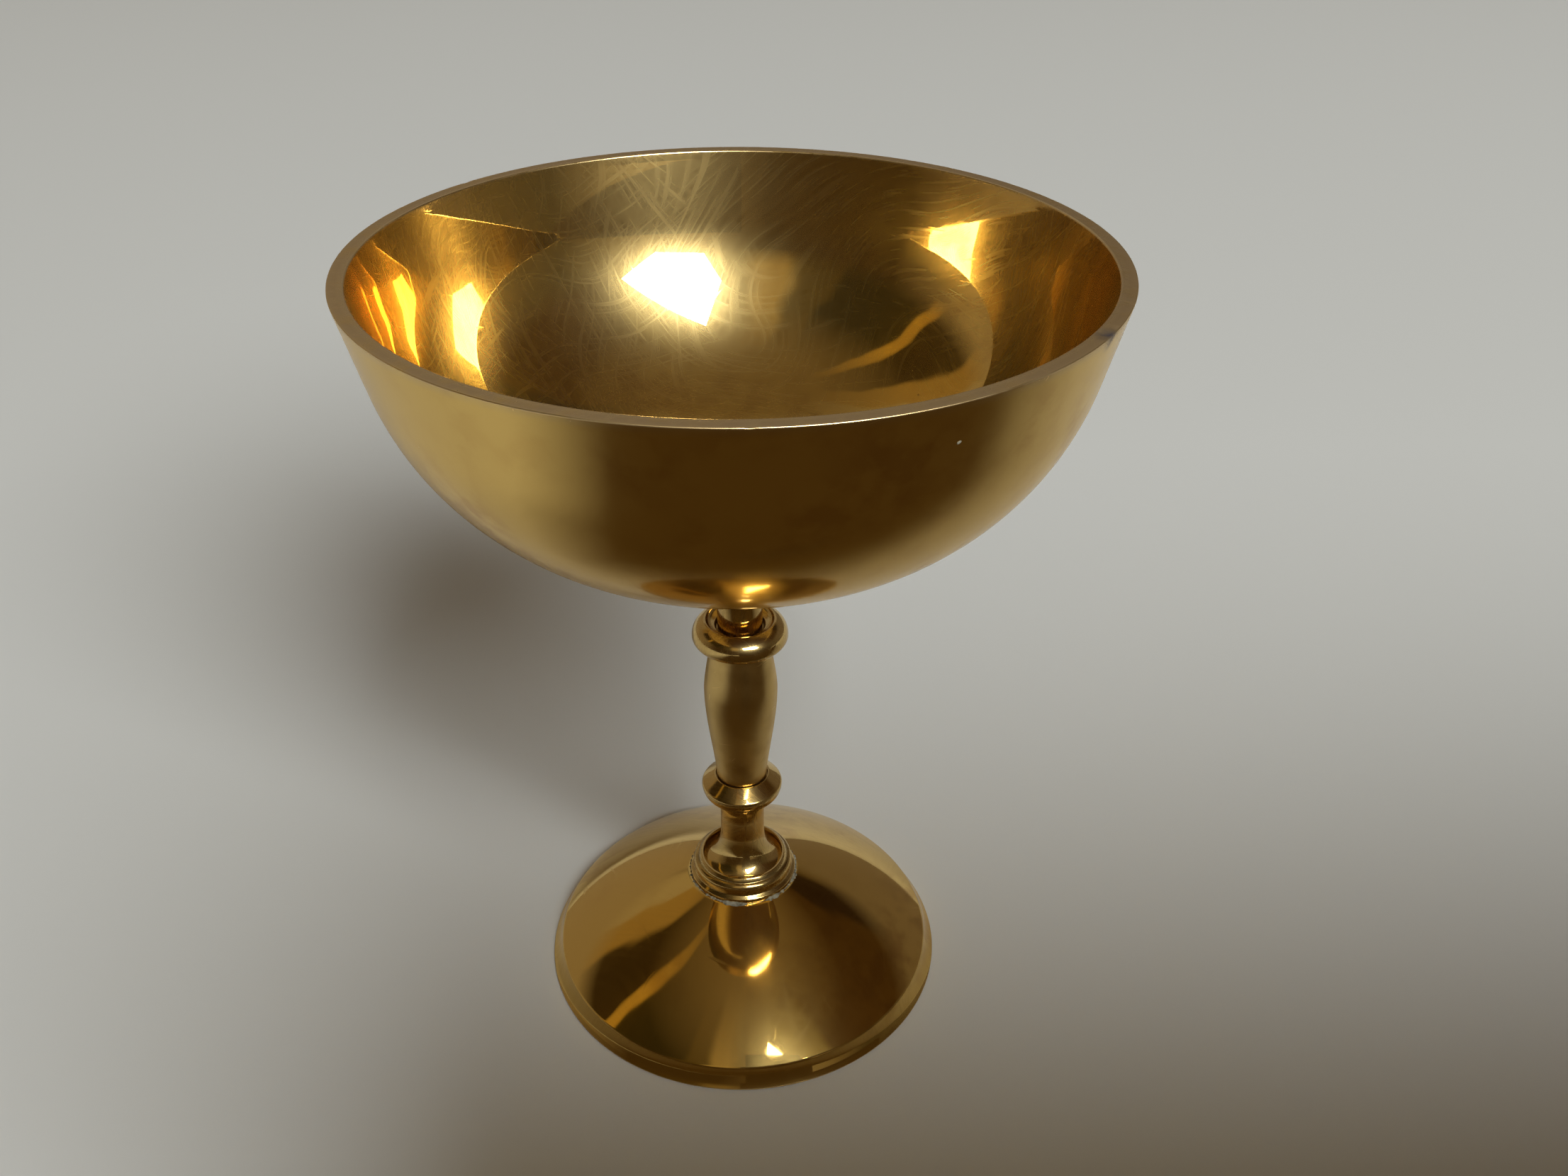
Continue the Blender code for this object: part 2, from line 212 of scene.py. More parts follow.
def bezier(controls, steps=24):
    """Points on the Bezier curve with these control points, both ends included."""
    order = len(controls) - 1
    curve = []
    for i in range(steps + 1):
        t = i / steps
        weights = [math.comb(order, k) * t**k * (1 - t) ** (order - k) for k in range(order + 1)]
        curve.append(tuple(sum(w * c[axis] for w, c in zip(weights, controls)) for axis in (0, 1)))
    return curve


def along(points, closed):
    """Distance along the outline at each point, and the outline's whole length."""
    ends = points[1:] + points[:1] if closed else points[1:]
    steps = [math.dist(a, b) for a, b in zip(points, ends)]
    places = [0.0]
    for step in steps:
        places.append(places[-1] + step)
    return places[: len(points)], places[-1]


def bends(points, closed):
    """How far the outline turns at each point, in degrees, positive where it turns left."""
    turns = []
    for i, here in enumerate(points):
        if not closed and i in (0, len(points) - 1):
            turns.append(0.0)
            continue
        before = Vector(here) - Vector(points[i - 1])
        after = Vector(points[(i + 1) % len(points)]) - Vector(here)
        leftward = before.x * after.y - before.y * after.x
        turns.append(math.degrees(math.atan2(leftward, before.dot(after))))
    return turns


def point_at(points, places, length, place, closed):
    """The point of the outline at this distance along it."""
    if closed:
        place %= length
    for i, start in enumerate(places):
        end = places[i + 1] if i + 1 < len(places) else length
        if start <= place <= end:
            other = points[(i + 1) % len(points)]
            t = (place - start) / max(end - start, 1e-9)
            return (
                points[i][0] + (other[0] - points[i][0]) * t,
                points[i][1] + (other[1] - points[i][1]) * t,
            )
    return points[-1]


def eased(outline, closed, ease=ARRIS):
    """The outline with each arris cut back and rounded, held by a support point on both sides."""
    points = [p for i, p in enumerate(outline) if i == 0 or math.dist(p, outline[i - 1]) > 1e-6]
    places, length = along(points, closed)
    folds = [i for i, turn in enumerate(bends(points, closed)) if abs(turn) > FOLD]

    def gap(i, j):
        apart = abs(places[i] - places[j])
        return min(apart, length - apart) if closed else apart

    def cut_at(i):
        others = [gap(i, j) for j in folds if j != i]
        if not closed:
            others += [2 * places[i], 2 * (length - places[i])]
        return min([ease] + [0.4 * other for other in others])

    cuts = {i: cut_at(i) for i in folds}
    made = []
    for i, point in enumerate(points):
        if i not in cuts:
            if all(gap(i, j) > cuts[j] + SUPPORT for j in folds):
                made.append(point)
            continue
        cut = cuts[i]
        strip = min(SUPPORT, 0.2 * cut)
        first = point_at(points, places, length, places[i] - cut, closed)
        last = point_at(points, places, length, places[i] + cut, closed)
        made.append(point_at(points, places, length, places[i] - cut - strip, closed))
        made += bezier([first, point, last], 5)
        made.append(point_at(points, places, length, places[i] + cut + strip, closed))
    return made


def spaced(points, closed, longest=SPACING):
    """The outline with long straight steps divided."""
    made = []
    ends = points[1:] + points[:1] if closed else points[1:]
    for start, end in zip(points, ends):
        pieces = max(1, math.ceil(math.dist(start, end) / longest))
        for k in range(pieces):
            t = k / pieces
            made.append((start[0] + (end[0] - start[0]) * t, start[1] + (end[1] - start[1]) * t))
    if not closed:
        made.append(points[-1])
    return made


def spread(values, places, length, reach, closed):
    """Each value's strongest neighbour within reach along the outline, fading with distance."""
    values = np.array(values)
    places = np.array(places)
    gap = np.abs(places[:, None] - places[None, :])
    if closed:
        gap = np.minimum(gap, length - gap)
    return np.max(values[None, :] * np.clip(1 - gap / reach, 0, 1) ** 1.5, axis=1)


# ---- turned meshes


def store(mesh, name, values):
    """Keeps one number for each vertex, for the materials to read as a mask."""
    layer = mesh.attributes.new(name, "FLOAT", "POINT")
    layer.data.foreach_set("value", np.asarray(values, np.float32))


def add_mesh(name, points, faces, material, masks=None):
    mesh = bpy.data.meshes.new(name)
    mesh.from_pydata([tuple(p) for p in points], [], faces)
    mesh.validate()
    mesh.materials.append(material)
    mesh.shade_smooth()
    for mark, values in (masks or {}).items():
        store(mesh, mark, values)
    mesh.update()
    piece = bpy.data.objects.new(name, mesh)
    scene.collection.objects.link(piece)
    return piece


def metal_left(outline):
    """The outline, run so that its metal is on its left: arrises are then left turns."""
    area = sum(a[0] * b[1] - b[0] * a[1] for a, b in zip(outline, outline[1:] + outline[:1]))
    return outline if area > 0 else outline[::-1]


def wear_and_grime(points, closed):
    """How worn the outline is at each point, and how much grime lies there, from 0 to 1."""
    places, length = along(points, closed)
    turns = np.array(bends(points, closed))
    arris = np.clip((turns - BEND_START) / BEND_RANGE, 0, 1)
    hollow = np.clip((-turns - BEND_START) / BEND_RANGE, 0, 1)
    wear = spread(arris, places, length, WEAR_REACH, closed)
    grime = spread(hollow, places, length, GRIME_REACH, closed)
    return {"wear": wear, "grime": grime}


def rings_of(profile, angles):
    """A ring of points for each point of the outline."""
    across = np.outer(profile[:, 0], np.cos(angles))
    deep = np.outer(profile[:, 0], np.sin(angles))
    high = np.outer(profile[:, 1], np.ones(len(angles)))
    return np.stack([across, deep, high], axis=-1)


def ring_faces(starts, sides, closed):
    """Faces between neighbouring rings, given as (first vertex, whether it is one point)."""
    faces = []
    for i in range(len(starts) if closed else len(starts) - 1):
        a, a_tip = starts[i]
        b, b_tip = starts[(i + 1) % len(starts)]
        for k in range(sides):
            n = (k + 1) % sides
            if a_tip:
                faces.append((a, b + n, b + k))
            elif b_tip:
                faces.append((a + k, a + n, b))
            else:
                faces.append((a + k, a + n, b + n, b + k))
    return faces


def turned(name, outline, material, sides, closed, ease=ARRIS, longest=SPACING, shape=None, marks=None):
    """Turns the outline about Z, with masks for where it is worn and where grime gathers.

    An open outline starts and ends on the axis. shape moves the finished rings of points, and
    marks gives more masks, each worked out from the outline's (radius, height) points.
    """
    points = spaced(eased(metal_left(outline), closed, ease), closed, longest)
    profile = np.array(points)
    values_of = wear_and_grime(points, closed)
    for mark, rule in (marks or {}).items():
        values_of[mark] = rule(profile[:, 0], profile[:, 1])
    angles = np.arange(sides) * math.tau / sides
    rings = rings_of(profile, angles)
    if shape:
        rings = shape(rings, angles)
    verts = []
    masks = {mark: [] for mark in values_of}
    starts = []
    for i, ring in enumerate(rings):
        on_axis = profile[i, 0] < 1e-6
        starts.append((len(verts), on_axis))
        kept = ring[:1] if on_axis else ring
        verts.extend(kept * MM)
        for mark, values in values_of.items():
            masks[mark] += [values[i]] * len(kept)
    return add_mesh(name, verts, ring_faces(starts, sides, closed), material, masks)


# ---- the vessel's pieces


def bowl_arcs():
    """(haunch centre, bottom radius, the angle where the two arcs meet, in degrees)."""
    taper = math.radians(WALL_TAPER)
    wall_end = (RIM_RADIUS - WALL_DROP * math.tan(taper), HEIGHT - WALL_DROP)
    haunch = (
        wall_end[0] - HAUNCH_RADIUS * math.cos(taper),
        wall_end[1] + HAUNCH_RADIUS * math.sin(taper),
    )
    lift = haunch[1] - BOWL_BOTTOM
    bottom_radius = (haunch[0] ** 2 + lift**2 - HAUNCH_RADIUS**2) / (2 * (lift - HAUNCH_RADIUS))
    meeting = math.degrees(math.atan2(lift - bottom_radius, haunch[0]))
    return haunch, bottom_radius, meeting


def bowl_skin(inset):
    """One face of the bowl from the rim to the axis, inset from the outer face."""
    haunch, bottom_radius, meeting = bowl_arcs()
    rim = (RIM_RADIUS - inset / math.cos(math.radians(WALL_TAPER)), HEIGHT)
    side = arc(haunch, HAUNCH_RADIUS - inset, -WALL_TAPER, meeting, 1.5)
    bottom = arc((0.0, BOWL_BOTTOM + bottom_radius), bottom_radius - inset, meeting, -90.0, 1.2)
    return [rim] + side + bottom[1:-1] + [(0.0, BOWL_BOTTOM + inset)]


def underside(radius):
    """Height of the bowl's outer face near the axis, less the joint's clearance."""
    bottom_radius = bowl_arcs()[1]
    return BOWL_BOTTOM + bottom_radius - math.sqrt(bottom_radius**2 - radius**2) - FIT


def radii(rings):
    return np.hypot(rings[..., 0], rings[..., 1])


def narrowed(rings, scale):
    """The rings with each point's distance from the axis scaled."""
    return rings * np.stack([scale, scale, np.ones_like(scale)], axis=-1)


def dent_rim(rings, _angles):
    """Pushes the rim in and down at each dent."""
    for azimuth, radius, reach, depth in RIM_DENTS:
        a = math.radians(azimuth)
        centre = np.array([radius * math.cos(a), radius * math.sin(a), HEIGHT])
        push = np.array([-DENT_IN * math.cos(a), -DENT_IN * math.sin(a), -DENT_DOWN])
        gap = np.linalg.norm(rings - centre, axis=-1) / reach
        rings = rings + (depth * np.clip(1 - gap**2, 0, 1) ** 2)[..., None] * push
    return rings


def on_rim(_radius, height):
    return np.clip((height - (HEIGHT - RIM_LAND)) / RIM_LAND_FADE, 0, 1)


def bruised(points):
    """1 beside the first dent of the rim, fading to 0."""
    azimuth, radius = math.radians(RIM_DENTS[0][0]), RIM_DENTS[0][1]
    knock = np.array([radius * math.cos(azimuth), radius * math.sin(azimuth), HEIGHT])
    gap = np.linalg.norm(points - knock, axis=1)
    return np.clip(BRUISE_STRENGTH - gap / BRUISE_FADE, 0, 1)


def on_outside(points):
    """1 on the bowl's outer face, which is satin, and 0 on its polished inner face."""
    skin = np.array(bowl_skin(BOWL_WALL / 2))[::-1]
    middle = np.interp(points[:, 2], skin[:, 1], skin[:, 0], left=0.0)
    return (np.hypot(points[:, 0], points[:, 1]) > middle).astype(float)


def make_bowl(material):
    outline = bowl_skin(0.0)[::-1] + bowl_skin(BOWL_WALL)
    fineness = (BOWL_SIDES, False, WIDE_ARRIS, BOWL_SPACING)
    bowl = turned("turned_bowl", outline, material, *fineness, dent_rim, {"worn": on_rim})
    points = np.array([v.co for v in bowl.data.vertices]) / MM
    store(bowl.data, "bruise", bruised(points))
    store(bowl.data, "hazy", on_outside(points))
    return bowl


def make_boss(material):
    edge = underside(BOSS_FLANGE_RADIUS) - BOSS_FLANGE_EDGE
    floor = UPPER_KNOP_FLOOR + FIT
    flare = bezier(
        [
            (BOSS_NECK_RADIUS, BOSS_NECK_TOP),
            (BOSS_NECK_RADIUS, BOSS_NECK_BEND),
            (BOSS_FLARE_CONTROL[0], edge - BOSS_FLARE_CONTROL[1]),
            (BOSS_FLARE_RADIUS, edge),
        ]
    )
    side = [(BOSS_NECK_RADIUS, floor)] + flare
    side += [(BOSS_FLANGE_RADIUS, edge), (BOSS_FLANGE_RADIUS, underside(BOSS_FLANGE_RADIUS))]
    crown = [(r, underside(r)) for r in np.linspace(BOSS_FLANGE_RADIUS, 0.0, 12)[1:]]
    bore = [(0.0, BOSS_BORE_TOP), (ROD_BORE, BOSS_BORE_TOP), (ROD_BORE, floor)]
    return turned("turned_boss", bore + side + crown, material, STEM_SIDES, False)


def make_upper_knop(material):
    belly = (UPPER_KNOP_RADIUS, UPPER_KNOP_WAIST)
    lip = BALUSTER_HEAD_RADIUS + FIT
    start = (lip + UPPER_KNOP_LIP, UPPER_KNOP_BOTTOM)
    lower = bezier([start, (UPPER_KNOP_RADIUS, UPPER_KNOP_UNDER), belly])
    arris = (UPPER_KNOP_ARRIS, UPPER_KNOP_TOP)
    upper = bezier([belly, (UPPER_KNOP_RADIUS, UPPER_KNOP_SHOULDER), arris])
    land_end = (UPPER_KNOP_ARRIS - UPPER_KNOP_LAND, UPPER_KNOP_TOP)
    dish_end = (UPPER_KNOP_DISH_RADIUS, UPPER_KNOP_DISH)
    dish = bezier([land_end, UPPER_KNOP_DISH_CONTROL, dish_end], 12)
    socket = [(UPPER_KNOP_DISH_RADIUS - 0.3, UPPER_KNOP_FLOOR), (ROD_BORE, UPPER_KNOP_FLOOR)]
    recess = [(ROD_BORE, UPPER_KNOP_CEILING), (lip, UPPER_KNOP_CEILING), (lip, UPPER_KNOP_BOTTOM)]
    outline = recess + lower + upper[1:] + dish + socket
    return turned("turned_upper_knop", outline, material, STEM_SIDES, True, 0.12)


def make_baluster(material):
    top = UPPER_KNOP_CEILING - FIT
    bottom = LOWER_KNOP_FLOOR + FIT
    belly = (BALUSTER_BELLY_RADIUS, BALUSTER_BELLY)
    head = (BALUSTER_HEAD_RADIUS, top)
    lower = bezier([(BALUSTER_FOOT_RADIUS, bottom), *BALUSTER_LOWER_CONTROLS, belly], 40)
    upper = bezier([belly, (BALUSTER_BELLY_RADIUS, BALUSTER_SHOULDER), head], 24)
    outline = [(ROD_BORE, bottom)] + lower + upper[1:] + [(ROD_BORE, top)]
    marks = {"hazy": lambda radius, _height: np.full(len(radius), BALUSTER_HAZE)}
    return turned("turned_baluster", outline, material, STEM_SIDES, True, marks=marks)


def make_lower_knop(material):
    centre = (LOWER_KNOP_RADIUS - LOWER_KNOP_EDGE, LOWER_KNOP_WAIST)
    edge = arc(centre, LOWER_KNOP_EDGE, 0.0, LOWER_KNOP_EDGE_SWEEP, 6.0)
    belly = (LOWER_KNOP_RADIUS, LOWER_KNOP_WAIST)
    base = (LOWER_KNOP_BASE_RADIUS, LOWER_KNOP_BOTTOM)
    under = bezier([base, (LOWER_KNOP_RADIUS, LOWER_KNOP_UNDER), belly])
    lip = [(LOWER_KNOP_LIP_RADIUS, LOWER_KNOP_TOP), (LOWER_KNOP_RECESS, LOWER_KNOP_TOP)]
    recess = [(LOWER_KNOP_RECESS, LOWER_KNOP_FLOOR), (ROD_BORE, LOWER_KNOP_FLOOR)]
    outline = [(ROD_BORE, LOWER_KNOP_BOTTOM)] + under + edge[1:] + lip + recess
    return turned("turned_lower_knop", outline, material, STEM_SIDES, True, 0.1)


def make_lower_neck(material):
    top = LOWER_KNOP_BOTTOM - FIT
    bottom = COLLAR_RECESS_FLOOR + FIT
    flare_radius = COLLAR_RECESS_RADIUS - FIT
    bend = (NECK_RADIUS, top - NECK_TOP_BEND)
    upper = bezier([(NECK_TOP_RADIUS, top), bend, (NECK_RADIUS, top - NECK_TOP_DEPTH)])
    flare = bezier(
        [
            (NECK_RADIUS, NECK_FLARE_TOP),
            (NECK_RADIUS, NECK_FLARE_BEND),
            NECK_FLARE_CONTROL,
            (flare_radius, NECK_FLARE_FOOT),
        ],
        32,
    )
    outline = [(ROD_BORE, top)] + upper + flare + [(flare_radius, bottom), (ROD_BORE, bottom)]
    return turned("turned_lower_neck", outline, material, STEM_SIDES, True, 0.12)


def make_collar(material):
    bottom = FOOT_TOP + FIT
    lip = [(COLLAR_RECESS_RADIUS, COLLAR_TOP), (COLLAR_LIP_RADIUS, COLLAR_TOP), COLLAR_LIP_FOOT]
    centre = (COLLAR_RADIUS - COLLAR_MOULDING, COLLAR_MOULDING_HEIGHT)
    moulding = arc(centre, COLLAR_MOULDING, 80.0, 0.0, 5.0)
    skirt = [
        (COLLAR_RADIUS, COLLAR_SKIRT_TOP),
        (COLLAR_BASE_RADIUS, COLLAR_SKIRT_STEP),
        (COLLAR_BASE_RADIUS, bottom),
    ]
    recess = [(ROD_BORE, COLLAR_RECESS_FLOOR), (COLLAR_RECESS_RADIUS, COLLAR_RECESS_FLOOR)]
    outline = [(ROD_BORE, bottom)] + recess + lip + moulding + skirt
    return turned("turned_collar", outline, material, STEM_SIDES, True, 0.14)


def foot_inside():
    """The hollow side of the foot, from its heavy edge up to the washer's seat."""
    inner_edge = (FOOT_RADIUS - FOOT_EDGE_WIDTH, FOOT_EDGE_HEIGHT)
    return bezier([inner_edge, FOOT_INSIDE_CONTROL, (FOOT_INSIDE_SEAT, FOOT_TOP - FOOT_WALL)], 48)


def make_foot(material):
    dome = bezier([(FOOT_SEAT_RADIUS, FOOT_TOP), FOOT_CONTROL, (ARRIS_RADIUS, ARRIS_HEIGHT)], 64)
    edge = (FOOT_RADIUS, FOOT_EDGE_ROUND)
    band = bezier([(ARRIS_RADIUS, ARRIS_HEIGHT), FOOT_BAND_CONTROL, edge], 20)
    base = [(FOOT_RADIUS - FOOT_EDGE_ROUND, 0.0), (FOOT_RADIUS - FOOT_EDGE_WIDTH, 0.0)]
    seat = [(ROD_BORE, FOOT_TOP - FOOT_WALL)]
    outline = [(ROD_BORE, FOOT_TOP)] + dome + band[1:] + base + foot_inside() + seat
    hollow = np.array(foot_inside() + seat)[::-1]

    def raw(radius, height):
        """1 on the unpolished hollow side and under the edge, 0 on the polished outside."""
        ceiling = np.interp(radius, hollow[:, 0], hollow[:, 1], right=0.1)
        return (height < ceiling + 0.3).astype(float)

    fineness = (FOOT_SIDES, True, WIDE_ARRIS, FOOT_SPACING)
    return turned("turned_foot", outline, material, *fineness, marks={"raw": raw})


def cut_thread(rings, angles):
    """Cuts a helical groove round the rod, fading out at the tip and where the thread ends."""
    height = rings[..., 2]
    radius = radii(rings)
    phase = (height / THREAD_PITCH - angles[None, :] / math.tau) % 1.0
    groove = 1 - np.abs(2 * phase - 1)
    cut = np.clip(THREAD_END - height, 0, 1) * np.clip((radius - THREAD_CORE) / 0.4, 0, 1)
    return narrowed(rings, 1 - THREAD_DEPTH * groove * cut / np.maximum(radius, 1e-6))


def make_rod(material):
    tip = ROD_RADIUS - ROD_CHAMFER
    lower = [(0.0, ROD_BOTTOM), (tip, ROD_BOTTOM), (ROD_RADIUS, ROD_BOTTOM + ROD_CHAMFER)]
    rows = np.arange(ROD_BOTTOM + ROD_CHAMFER + 0.1, THREAD_END, THREAD_PITCH / 10)
    threaded = [(ROD_RADIUS, float(height)) for height in rows]
    upper = [(ROD_RADIUS, ROD_TOP - ROD_CHAMFER), (tip, ROD_TOP), (0.0, ROD_TOP)]
    outline = lower + threaded + upper
    return turned("threaded_rod", outline, material, ROD_SIDES, False, 0.05, 3.0, cut_thread)


def make_washer(material, top):
    low = top - WASHER_THICK
    bore = ROD_RADIUS + FIT
    outline = [(bore, low), (WASHER_RADIUS, low), (WASHER_RADIUS, top), (bore, top)]
    return turned("stamped_washer", outline, material, STEM_SIDES, True, 0.25)


def make_lock_washer(material, top):
    """A split spring ring: a rounded section swept short of a full turn, its ends sprung apart."""
    low = top - LOCK_THICK + LOCK_SPRING
    high = top - LOCK_SPRING
    bore = ROD_RADIUS + FIT
    section = eased([(bore, low), (LOCK_RADIUS, low), (LOCK_RADIUS, high), (bore, high)], True, 0.15)
    count = len(section)
    verts = []
    for i in range(LOCK_STEPS + 1):
        share = i / LOCK_STEPS
        angle = math.radians(LOCK_SWEEP) * share
        lift = LOCK_SPRING * (2 * share - 1)
        for r, z in section:
            verts.append((r * math.cos(angle) * MM, r * math.sin(angle) * MM, (z + lift) * MM))
    faces = [tuple(range(count))]
    faces.append(tuple(reversed(range(LOCK_STEPS * count, (LOCK_STEPS + 1) * count))))
    for a in range(0, LOCK_STEPS * count, count):
        for k in range(count):
            n = (k + 1) % count
            faces.append((a + k, a + count + k, a + count + n, a + n))
    return add_mesh("spring_washer", verts, faces, material)


def hexagon(rings, angles):
    """Flattens a turned blank to six sides."""
    turn = (np.degrees(angles) % 60.0) - 30.0
    flat = NUT_FLATS / 2 / np.cos(np.radians(turn))
    return narrowed(rings, np.minimum(1.0, flat[None, :] / radii(rings)))


def make_nut(material, top):
    low = top - NUT_HEIGHT
    corner = NUT_FLATS / 2 / math.cos(math.radians(30))
    face = NUT_FLATS / 2 - NUT_FACE_LAND
    bore = ROD_RADIUS + FIT
    mouth = bore + NUT_SINK
    drop = (corner - face) * math.tan(math.radians(30))
    outline = [(bore, low + NUT_SINK), (mouth, low), (face, low), (corner, low + drop)]
    outline += [(corner, top - drop), (face, top), (mouth, top), (bore, top - NUT_SINK)]
    nut = turned("hexagon_nut", outline, material, 120, True, 0.04, 0.3, hexagon)
    nut.data.set_sharp_from_angle(angle=math.radians(28))
    return nut


def ragged(rings, angles):
    """Makes the ring of dried polish swell and thin round the collar."""
    corner = np.array([COLLAR_BASE_RADIUS, FOOT_TOP])
    sizes = []
    for a in angles:
        place = Vector((math.cos(a), math.sin(a), 0.0))
        broad = noise.noise(place * 2.3)
        fine = noise.noise(place * 21.0)
        sizes.append(min(1.0, max(0.06, 0.5 + 0.9 * broad + 0.7 * fine)))
    radius = radii(rings)
    size = np.array(sizes)[None, :]
    new_radius = corner[0] + (radius - corner[0]) * np.where(radius > corner[0], size, 1.0)
    rings = narrowed(rings, new_radius / radius)
    rings[..., 2] = corner[1] + (rings[..., 2] - corner[1]) * size
    return rings


def make_residue(material):
    """Dried metal polish left in the corner between the collar and the foot."""
    inner = COLLAR_BASE_RADIUS - CRUST_OVERLAP
    outline = [(inner + out, FOOT_TOP + up) for out, up in CRUST]
    return turned("dried_polish", outline, material, 360, True, 0.06, 0.12, ragged)


def make_fleck(material):
    """A speck of dried polish on the outside of the bowl: a low dome with an uneven edge."""
    azimuth = math.radians(FLECK_AZIMUTH)
    slope = math.tan(math.radians(WALL_TAPER))
    radius = RIM_RADIUS - (HEIGHT - FLECK_HEIGHT) * slope
    out = Vector((math.cos(azimuth), math.sin(azimuth), -slope)).normalized()
    side = Vector((-math.sin(azimuth), math.cos(azimuth), 0.0))
    up = out.cross(side)
    centre = Vector((radius * math.cos(azimuth), radius * math.sin(azimuth), FLECK_HEIGHT))
    verts = [(centre + out * FLECK_RISE) * MM]
    for share, lift in ((0.6, 0.8), (1.0, -0.2)):
        for k in range(FLECK_SIDES):
            turn = math.tau * k / FLECK_SIDES
            uneven = 1 + 0.18 * math.sin(2 * turn + 0.7) + 0.1 * math.sin(5 * turn)
            sideways = side * math.cos(turn) + up * math.sin(turn)
            spot = centre + sideways * (FLECK_SIZE * share * uneven) + out * (FLECK_RISE * lift)
            verts.append(spot * MM)
    faces = []
    for k in range(FLECK_SIDES):
        inner, next_inner = 1 + k, 1 + (k + 1) % FLECK_SIDES
        faces.append((0, inner, next_inner))
        faces.append((inner, inner + FLECK_SIDES, next_inner + FLECK_SIDES, next_inner))
    faces.append(tuple(reversed(range(1 + FLECK_SIDES, 1 + 2 * FLECK_SIDES))))
    return add_mesh("polish_fleck", verts, faces, material)


# ---- materials

MICROMETRE = 1e-6
HAZE_ROUGHNESS = 0.28  # how widely the hairlines scatter
SATIN_SHARE = 0.28  # the share of the shine that a satin surface scatters
FILM_ROUGHNESS = 0.42

GILT = (0.76, 0.51, 0.155, 1)
GILT_DULLED = (0.58, 0.35, 0.10, 1)
GILT_HAIRLINES = (0.78, 0.56, 0.22, 1)
BRASS = (0.64, 0.44, 0.16, 1)
BRASS_DULLED = (0.42, 0.27, 0.09, 1)
STEEL = (0.62, 0.61, 0.59, 1)
STEEL_DULLED = (0.44, 0.42, 0.39, 1)
RUST = (0.20, 0.10, 0.05, 1)
CHALK = (0.36, 0.34, 0.26, 1)
CHALK_DIRTY = (0.11, 0.09, 0.055, 1)
# Each mark's colour on the brass, with how fully it covers the metal.
MARK_COLOURS = {
    "raw": (0.75, (0.46, 0.34, 0.17, 1)),
    "worn": (0.8, (0.54, 0.39, 0.21, 1)),
    "wear": (0.2, (0.84, 0.66, 0.38, 1)),
    "grime": (1.0, (0.10, 0.062, 0.028, 1)),
    "bruise": (1.0, (0.12, 0.105, 0.12, 1)),
    "dots": (0.7, (0.16, 0.09, 0.04, 1)),
}
# What each mark adds to the roughness.
MARK_ROUGHNESS = {
    "scratches": 0.1,
    "stained": 0.05,
    "broad": 0.03,
    "rings": 0.02,
    "hazy": 0.1,
    "wear": 0.05,
    "grime": 0.4,
    "worn": 0.24,
    "bruise": 0.3,
    "raw": 0.26,
    "dots": 0.3,
}
MEAN_ROUGHENING = 0.03  # what the cloudy marks add on average


def start_material(name):
    """(a new material, its node tree, its Principled shader)."""
    material = bpy.data.materials.new(name)
    material.use_nodes = True
    tree = material.node_tree
    return material, tree, tree.nodes["Principled BSDF"]


def add(tree, kind, inputs=None, **settings):
    """A shader node. Each input is a link if it is given a socket, and a plain value otherwise."""
    node = tree.nodes.new("ShaderNode" + kind)
    for setting, value in settings.items():
        setattr(node, setting, value)
    for key, value in (inputs or {}).items():
        if isinstance(value, bpy.types.NodeSocket):
            tree.links.new(value, node.inputs[key])
        else:
            node.inputs[key].default_value = value
    return node


def join(tree, operation, *values):
    """The result of one Math node."""
    return add(tree, "Math", dict(enumerate(values)), operation=operation).outputs[0]


def times(tree, first, second):
    return join(tree, "MULTIPLY", first, second)


def total(tree, *terms):
    """The sum of (value, weight) terms."""
    result = 0.0
    for value, weight in terms:
        result = join(tree, "MULTIPLY_ADD", value, weight, result)
    return result


def fade(tree, value, low, high):
    """0 at low and 1 at high, and the same beyond them. low may be the larger of the two."""
    inputs = {"Value": value, "From Min": low, "From Max": high}
    return add(tree, "MapRange", inputs).outputs[0]


def mix(tree, share, first, second):
    """The first colour where share is 0 and the second where it is 1."""
    return add(tree, "Mix", {0: share, 6: first, 7: second}, data_type="RGBA").outputs[2]


def clouds(tree, place, scale, detail, distortion=0.0):
    """Soft noise in patches about 1/scale across."""
    inputs = {"Vector": place, "Scale": scale, "Detail": detail, "Distortion": distortion}
    return add(tree, "TexNoise", inputs).outputs[0]


def mask(tree, name):
    """What the piece's mesh stores under this name, or 0."""
    return add(tree, "Attribute", attribute_name=name).outputs["Fac"]


def position(tree):
    """Place on the vessel in millimetres."""
    place = add(tree, "TexCoord").outputs["Object"]
    return add(tree, "VectorMath", {0: place, 3: 1000.0}, operation="SCALE").outputs[0]


def profile_place(tree, place):
    """(distance from the axis, 0, height): the same all the way round a turned piece."""
    parts = add(tree, "SeparateXYZ", {0: place}).outputs
    flat = add(tree, "CombineXYZ", {0: parts[0], 1: parts[1]}).outputs[0]
    radius = add(tree, "VectorMath", {0: flat}, operation="LENGTH").outputs[1]
    return add(tree, "CombineXYZ", {0: radius, 2: parts[2]}).outputs[0]


def wandering(tree, place, reach):
    """The place pushed slowly to and fro, so that lines drawn from it curve."""
    noise_inputs = {"Vector": place, "Scale": 0.022, "Detail": 1.0}
    colour = add(tree, "TexNoise", noise_inputs).outputs[1]
    drift = add(tree, "VectorMath", {0: colour, 1: (0.5, 0.5, 0.5)}, operation="SUBTRACT").outputs[0]
    inputs = {0: drift, 1: (reach, reach, reach), 2: place}
    return add(tree, "VectorMath", inputs, operation="MULTIPLY_ADD").outputs[0]


